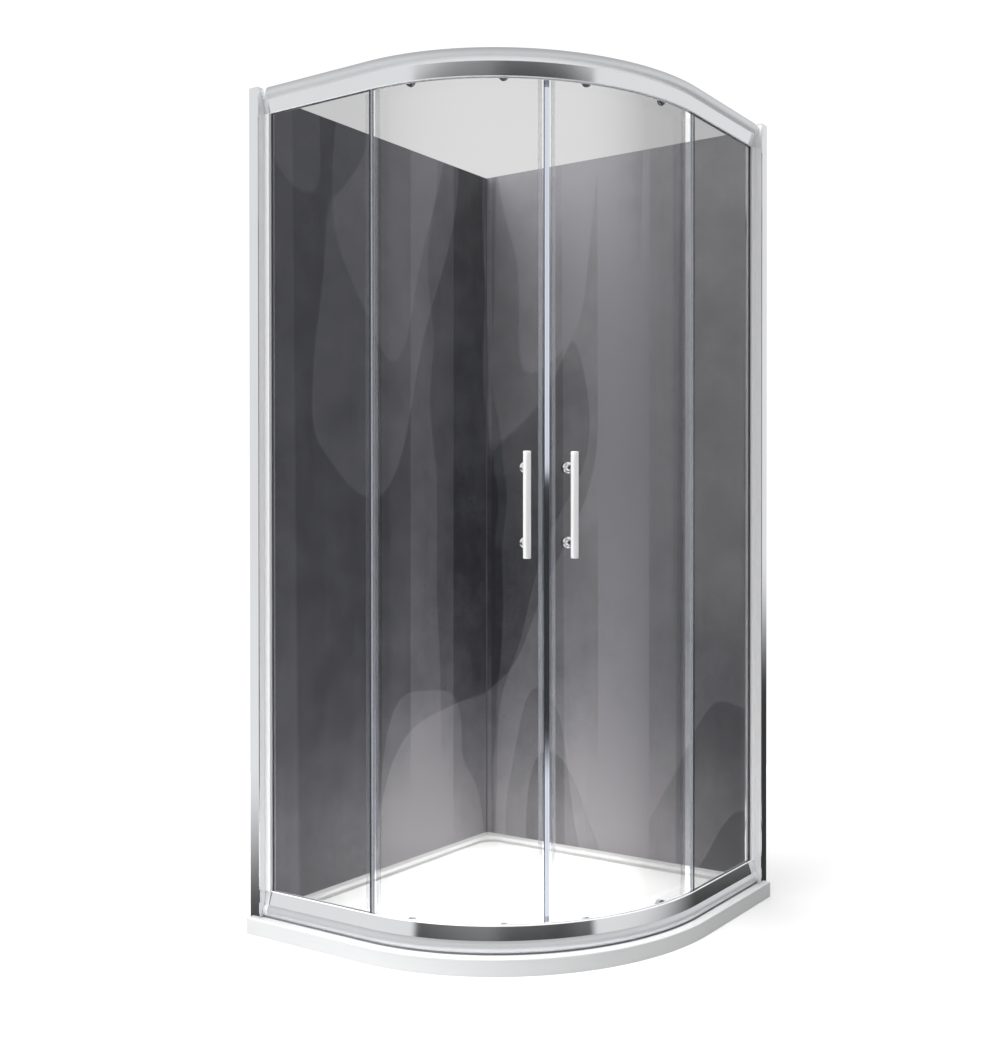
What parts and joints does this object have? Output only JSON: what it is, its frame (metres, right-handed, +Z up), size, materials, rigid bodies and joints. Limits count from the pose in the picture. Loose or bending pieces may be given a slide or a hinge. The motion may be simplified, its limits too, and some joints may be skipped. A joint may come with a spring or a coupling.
{
  "type": "shower cabin",
  "caption": "Corner shower cabin with a low bowed tray, curved sliding glass doors between flat side panes, bright metal rails and posts, and dark stone-look back panels.",
  "frame": {"origin": "middle of the tray's square plan, on the floor under the tray", "axes": "+Z up; the back panels meet at the corner towards -X and +Y, and the bowed front with its doors faces +X and -Y"},
  "size_m": [0.9, 0.9, 1.938],
  "materials": {
    "tray": "gloss white acrylic",
    "panel": "concrete-look board, satin",
    "profile": "bright polished",
    "rail": "bright polished",
    "glass": "clear toughened",
    "screw": "polished",
    "bracket": "bright silver plastic",
    "clear_seal": "translucent soft vinyl",
    "gasket": "grey soft vinyl",
    "stop": "matt",
    "handle": "bright satin",
    "wheel": "nylon",
    "button": "grey",
    "roller_cap": "plated plastic",
    "stud": "plated",
    "drain": "polished"
  },
  "bodies": {
    "frame": {"back_panel_left": "panel", "back_panel_right": "panel", "bottom_rail": "rail", "bracket_screws": "screw", "door_stops": "stop", "left_bottom_rail_bracket": "bracket", "left_fixed_edge_seal": "clear_seal", "left_fixed_glass": "glass", "left_glass_post": "profile", "left_top_rail_bracket": "bracket", "left_wall_post": "profile", "panel_base_seals": "gasket", "post_caps": "bracket", "post_gaskets": "gasket", "rear_corner_angle": "profile", "right_bottom_rail_bracket": "bracket", "right_fixed_edge_seal": "clear_seal", "right_fixed_glass": "glass", "right_glass_post": "profile", "right_top_rail_bracket": "bracket", "right_wall_post": "profile", "shower_tray": "tray", "top_rail": "rail"},
    "left_door": {"left_bottom_roller_studs": "stud", "left_door_glass": "glass", "left_fin_seal": "clear_seal", "left_guide_bodies": "roller_cap", "left_handle_bar": "handle", "left_handle_caps": "handle", "left_handle_posts": "handle", "left_hanger_caps": "roller_cap", "left_magnet_seal": "clear_seal", "left_top_roller_studs": "stud"},
    "right_door": {"right_bottom_roller_studs": "stud", "right_door_glass": "glass", "right_fin_seal": "clear_seal", "right_guide_bodies": "roller_cap", "right_handle_bar": "handle", "right_handle_caps": "handle", "right_handle_posts": "handle", "right_hanger_caps": "roller_cap", "right_magnet_seal": "clear_seal", "right_top_roller_studs": "stud"},
    "drain_cover": {"drain_cover": "drain"},
    "left_bottom_front_wheel": {"left_bottom_front_wheel": "wheel"},
    "left_bottom_rear_wheel": {"left_bottom_rear_wheel": "wheel"},
    "left_front_release_button": {"left_front_release_button": "button"},
    "left_rear_release_button": {"left_rear_release_button": "button"},
    "left_top_front_wheel": {"left_top_front_wheel": "wheel"},
    "left_top_rear_wheel": {"left_top_rear_wheel": "wheel"},
    "right_bottom_front_wheel": {"right_bottom_front_wheel": "wheel"},
    "right_bottom_rear_wheel": {"right_bottom_rear_wheel": "wheel"},
    "right_front_release_button": {"right_front_release_button": "button"},
    "right_rear_release_button": {"right_rear_release_button": "button"},
    "right_top_front_wheel": {"right_top_front_wheel": "wheel"},
    "right_top_rear_wheel": {"right_top_rear_wheel": "wheel"}
  },
  "joints": [
    {"name": "left_door_run", "type": "hinge", "parent": "frame", "child": "left_door", "pos_m": [-0.128, 0.1374, 0], "axis": [0, 0, -1], "range_deg": [0, 22]},
    {"name": "left_top_rear_wheel_spin", "type": "hinge", "parent": "left_door", "child": "left_top_rear_wheel", "pos_m": [-0.01698, -0.40147, 1.904], "axis": [0.1633, -0.9866, 0], "range_deg": [0, 1120]},
    {"name": "left_top_front_wheel_spin", "type": "hinge", "parent": "left_door", "child": "left_top_front_wheel", "pos_m": [0.18571, -0.32041, 1.904], "axis": [0.5621, -0.8271, 0], "range_deg": [0, 1120]},
    {"name": "left_bottom_rear_wheel_spin", "type": "hinge", "parent": "left_door", "child": "left_bottom_rear_wheel", "pos_m": [-0.01698, -0.40147, 0.07], "axis": [0.1633, -0.9866, 0], "range_deg": [0, 1120]},
    {"name": "left_bottom_front_wheel_spin", "type": "hinge", "parent": "left_door", "child": "left_bottom_front_wheel", "pos_m": [0.18571, -0.32041, 0.07], "axis": [0.5621, -0.8271, 0], "range_deg": [0, 1120]},
    {"name": "left_rear_release_button_press", "type": "slide", "parent": "left_door", "child": "left_rear_release_button", "axis": [0.1633, -0.9866, 0], "range_m": [0, 0.003], "stiffness_N_per_m": 600},
    {"name": "left_front_release_button_press", "type": "slide", "parent": "left_door", "child": "left_front_release_button", "axis": [0.5621, -0.8271, 0], "range_m": [0, 0.003], "stiffness_N_per_m": 600},
    {"name": "right_door_run", "type": "hinge", "parent": "frame", "child": "right_door", "pos_m": [-0.1374, 0.128, 0], "axis": [0, 0, 1], "range_deg": [0, 22]},
    {"name": "right_top_rear_wheel_spin", "type": "hinge", "parent": "right_door", "child": "right_top_rear_wheel", "pos_m": [0.40147, 0.01698, 1.904], "axis": [-0.9866, 0.1633, 0], "range_deg": [0, 1120]},
    {"name": "right_top_front_wheel_spin", "type": "hinge", "parent": "right_door", "child": "right_top_front_wheel", "pos_m": [0.32041, -0.18571, 1.904], "axis": [-0.8271, 0.5621, 0], "range_deg": [0, 1120]},
    {"name": "right_bottom_rear_wheel_spin", "type": "hinge", "parent": "right_door", "child": "right_bottom_rear_wheel", "pos_m": [0.40147, 0.01698, 0.07], "axis": [-0.9866, 0.1633, 0], "range_deg": [0, 1120]},
    {"name": "right_bottom_front_wheel_spin", "type": "hinge", "parent": "right_door", "child": "right_bottom_front_wheel", "pos_m": [0.32041, -0.18571, 0.07], "axis": [-0.8271, 0.5621, 0], "range_deg": [0, 1120]},
    {"name": "right_rear_release_button_press", "type": "slide", "parent": "right_door", "child": "right_rear_release_button", "axis": [0.9866, -0.1633, 0], "range_m": [0, 0.003], "stiffness_N_per_m": 600},
    {"name": "right_front_release_button_press", "type": "slide", "parent": "right_door", "child": "right_front_release_button", "axis": [0.8271, -0.5621, 0], "range_m": [0, 0.003], "stiffness_N_per_m": 600},
    {"name": "drain_cover_lift", "type": "slide", "parent": "frame", "child": "drain_cover", "axis": [0, 0, 1], "range_m": [0, 0.06]}
  ],
  "couplings": [
    {"joint": "left_top_rear_wheel_spin", "follows": "left_door_run", "ratio": 50.017},
    {"joint": "left_top_front_wheel_spin", "follows": "left_door_run", "ratio": 50.452},
    {"joint": "left_bottom_rear_wheel_spin", "follows": "left_door_run", "ratio": 50.017},
    {"joint": "left_bottom_front_wheel_spin", "follows": "left_door_run", "ratio": 50.452},
    {"joint": "right_top_rear_wheel_spin", "follows": "right_door_run", "ratio": 50.017},
    {"joint": "right_top_front_wheel_spin", "follows": "right_door_run", "ratio": 50.452},
    {"joint": "right_bottom_rear_wheel_spin", "follows": "right_door_run", "ratio": 50.017},
    {"joint": "right_bottom_front_wheel_spin", "follows": "right_door_run", "ratio": 50.452}
  ]
}
